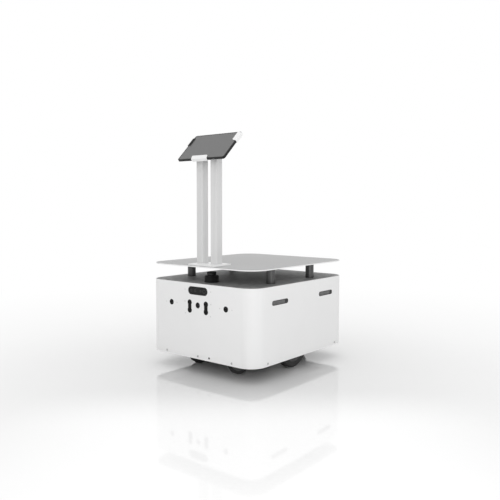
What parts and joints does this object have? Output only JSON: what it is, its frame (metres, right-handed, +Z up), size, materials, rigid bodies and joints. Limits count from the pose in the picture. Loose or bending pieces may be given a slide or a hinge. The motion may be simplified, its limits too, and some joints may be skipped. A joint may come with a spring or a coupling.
{
  "type": "autonomous mobile robot",
  "caption": "Box-shaped self-driving robot base with hub-motor drive wheels, swivel casters, a scanner gap under a bolted payload deck, and a tilting tablet on a two-post mast.",
  "frame": {"origin": "on the floor, under the middle of the deck's plan outline", "axes": "+Z up from the floor; the sensor face looks along -Y; +X is on the right of someone facing that sensor face"},
  "size_m": [0.5044, 0.5794, 0.8436],
  "materials": {
    "shell": "satin light-grey powder coat on folded steel sheet",
    "cover": "satin grey paint on sheet",
    "pan": "dark grey powder coat on steel",
    "deck": "fine-textured light-grey powder coat on plate",
    "flange": "smooth white paint on steel plate",
    "post": "satin light-grey paint on square tube",
    "head": "black powder coat on steel",
    "pin": "black moulded knob on a steel pin",
    "standoff": "black anodised turned pillars",
    "screws": "plain zinc-plated steel screws",
    "clip": "white powder coat on folded sheet",
    "latch": "black powder coat on folded sheet",
    "tablet_case": "smooth grey moulded case",
    "tablet_glass": "grey screen panel under clear glass",
    "scanner": "black moulded housing",
    "scanner_window": "near-black infra-red window",
    "scanner_rotor": "black drum with a mirror face",
    "trim": "black moulded trim with a fine grain",
    "camera_glass": "smoked clear panel",
    "lenses": "black lens barrels",
    "camera_case": "bead-blasted case",
    "sonar": "dark cans with a shallow cone",
    "boards": "bare circuit board",
    "eye": "black infra-red filter",
    "tray": "dark grey powder coat on pressed sheet",
    "collars": "black moulded rings",
    "estop": "red moulded mushroom head",
    "power": "turned steel button face",
    "socket": "black moulded inlet",
    "contact_block": "black insulating block",
    "contacts": "plated contact strips",
    "tyre": "black grooved rubber",
    "hub": "dark painted hub motor case",
    "caster_metal": "zinc-plated pressed steel, weathered dark",
    "caster_tread": "black tread on a plastic centre",
    "battery": "black moulded case",
    "electronics": "black anodised finned case"
  },
  "bodies": {
    "chassis": {"battery_clamp": "pan", "battery_pack": "battery", "bottom_pan": "pan", "button_collars": "collars", "caster_mounts": "caster_metal", "charge_socket": "socket", "chassis_plate": "pan", "contact_block": "contact_block", "deck_plate": "deck", "deck_screws": "screws", "deck_standoffs": "standoff", "depth_camera_bezel": "trim", "depth_camera_body": "camera_case", "depth_camera_lenses": "lenses", "depth_camera_window": "camera_glass", "dock_contacts": "contacts", "dock_receiver": "eye", "drive_bracket_left": "pan", "drive_bracket_right": "pan", "frame_uprights": "pan", "front_camera": "trim", "front_camera_lens": "camera_glass", "lidar_base": "scanner", "lidar_cap": "scanner", "lidar_window": "scanner_window", "mast_flange": "flange", "mast_head": "head", "mast_post_left": "post", "mast_post_right": "post", "motor_driver": "electronics", "onboard_computer": "electronics", "rear_tray": "tray", "shell_screws": "screws", "shell_skirt": "shell", "side_vents_left": "trim", "side_vents_right": "trim", "sonar_boards": "boards", "sonar_cans": "sonar", "sonar_housings": "trim", "tilt_pin": "pin", "top_cover": "cover"},
    "tablet_mount": {"tablet_holder": "clip", "tablet_body": "tablet_case", "tablet_screen": "tablet_glass"},
    "tablet_latch": {"tablet_latch": "latch"},
    "lidar_rotor": {"lidar_rotor": "scanner_rotor"},
    "drive_wheel_left": {"drive_tyre_left": "tyre", "drive_hub_left": "hub"},
    "drive_wheel_right": {"drive_tyre_right": "tyre", "drive_hub_right": "hub"},
    "estop_button": {"estop_button": "estop"},
    "power_button": {"power_button": "power"},
    "caster_fork_fl": {"caster_fork_fl": "caster_metal"},
    "caster_wheel_fl": {"caster_wheel_fl": "caster_tread"},
    "caster_fork_fr": {"caster_fork_fr": "caster_metal"},
    "caster_wheel_fr": {"caster_wheel_fr": "caster_tread"},
    "caster_fork_rl": {"caster_fork_rl": "caster_metal"},
    "caster_wheel_rl": {"caster_wheel_rl": "caster_tread"},
    "caster_fork_rr": {"caster_fork_rr": "caster_metal"},
    "caster_wheel_rr": {"caster_wheel_rr": "caster_tread"}
  },
  "joints": [
    {"name": "tablet_tilt", "type": "hinge", "parent": "chassis", "child": "tablet_mount", "pos_m": [0, -0.2061, 0.7754], "axis": [1, 0, 0], "range_deg": [-40, 6]},
    {"name": "latch_slide", "type": "slide", "parent": "tablet_mount", "child": "tablet_latch", "axis": [-1, 0, 0], "range_m": [0, 0.012], "stiffness_N_per_m": 300, "springref_m": -0.002},
    {"name": "lidar_spin", "type": "hinge", "parent": "chassis", "child": "lidar_rotor", "pos_m": [0, -0.2155, 0.347], "axis": [0, 0, 1], "continuous": true},
    {"name": "drive_left_spin", "type": "hinge", "parent": "chassis", "child": "drive_wheel_left", "pos_m": [-0.19, 0.009, 0.085], "axis": [1, 0, 0], "continuous": true},
    {"name": "drive_right_spin", "type": "hinge", "parent": "chassis", "child": "drive_wheel_right", "pos_m": [0.19, 0.009, 0.085], "axis": [1, 0, 0], "continuous": true},
    {"name": "caster_fl_swivel", "type": "hinge", "parent": "chassis", "child": "caster_fork_fl", "pos_m": [-0.1185, -0.1815, 0.09], "axis": [0, 0, 1], "continuous": true},
    {"name": "caster_fl_spin", "type": "hinge", "parent": "caster_fork_fl", "child": "caster_wheel_fl", "pos_m": [-0.11176, -0.16481, 0.0375], "axis": [-0.9272, 0.3746, 0], "continuous": true},
    {"name": "caster_fr_swivel", "type": "hinge", "parent": "chassis", "child": "caster_fork_fr", "pos_m": [0.1185, -0.1815, 0.09], "axis": [0, 0, 1], "continuous": true},
    {"name": "caster_fr_spin", "type": "hinge", "parent": "caster_fork_fr", "child": "caster_wheel_fr", "pos_m": [0.10159, -0.18766, 0.0375], "axis": [0.342, -0.9397, 0], "continuous": true},
    {"name": "caster_rl_swivel", "type": "hinge", "parent": "chassis", "child": "caster_fork_rl", "pos_m": [-0.1185, 0.1815, 0.09], "axis": [0, 0, 1], "continuous": true},
    {"name": "caster_rl_spin", "type": "hinge", "parent": "caster_fork_rl", "child": "caster_wheel_rl", "pos_m": [-0.10291, 0.1905, 0.0375], "axis": [-0.5, 0.866, 0], "continuous": true},
    {"name": "caster_rr_swivel", "type": "hinge", "parent": "chassis", "child": "caster_fork_rr", "pos_m": [0.1185, 0.1815, 0.09], "axis": [0, 0, 1], "continuous": true},
    {"name": "caster_rr_spin", "type": "hinge", "parent": "caster_fork_rr", "child": "caster_wheel_rr", "pos_m": [0.10291, 0.1905, 0.0375], "axis": [-0.5, -0.866, 0], "continuous": true},
    {"name": "estop_press", "type": "slide", "parent": "chassis", "child": "estop_button", "axis": [0, -1, 0], "range_m": [0, 0.004]},
    {"name": "power_press", "type": "slide", "parent": "chassis", "child": "power_button", "axis": [0, -1, 0], "range_m": [0, 0.002], "stiffness_N_per_m": 1200}
  ]
}
